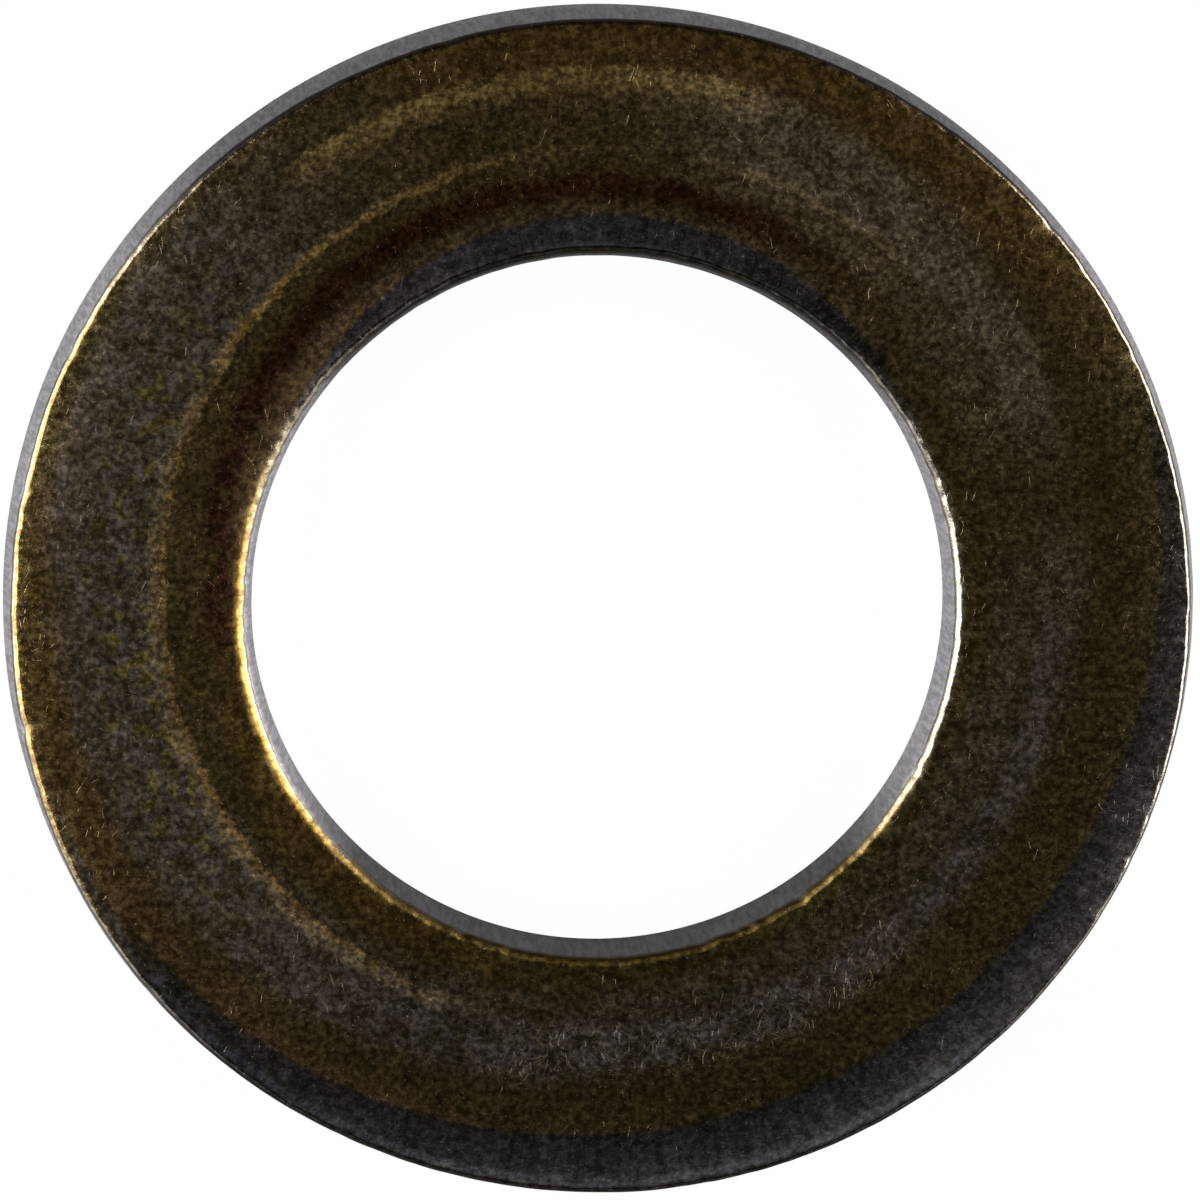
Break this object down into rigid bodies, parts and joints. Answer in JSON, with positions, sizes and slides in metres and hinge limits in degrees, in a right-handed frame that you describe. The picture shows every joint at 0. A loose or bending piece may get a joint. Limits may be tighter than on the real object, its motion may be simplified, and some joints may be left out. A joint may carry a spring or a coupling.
{
  "type": "flat washer",
  "caption": "Stamped steel flat washer with yellow chromate plating and die-rolled edges, spreads a screw head's or nut's load round a clearance hole.",
  "frame": {"origin": "centre of the hole in the plane of the underside, so the washer lies on Z = 0", "axes": "+Z along the hole's axis, out of the die-rolled face; X and Y are free because the ring is the same all round"},
  "size_m": [0.018, 0.018, 0.0016],
  "materials": {
    "yellow_zinc": "satin"
  },
  "bodies": {
    "root": {"washer": "yellow_zinc"}
  },
  "joints": []
}
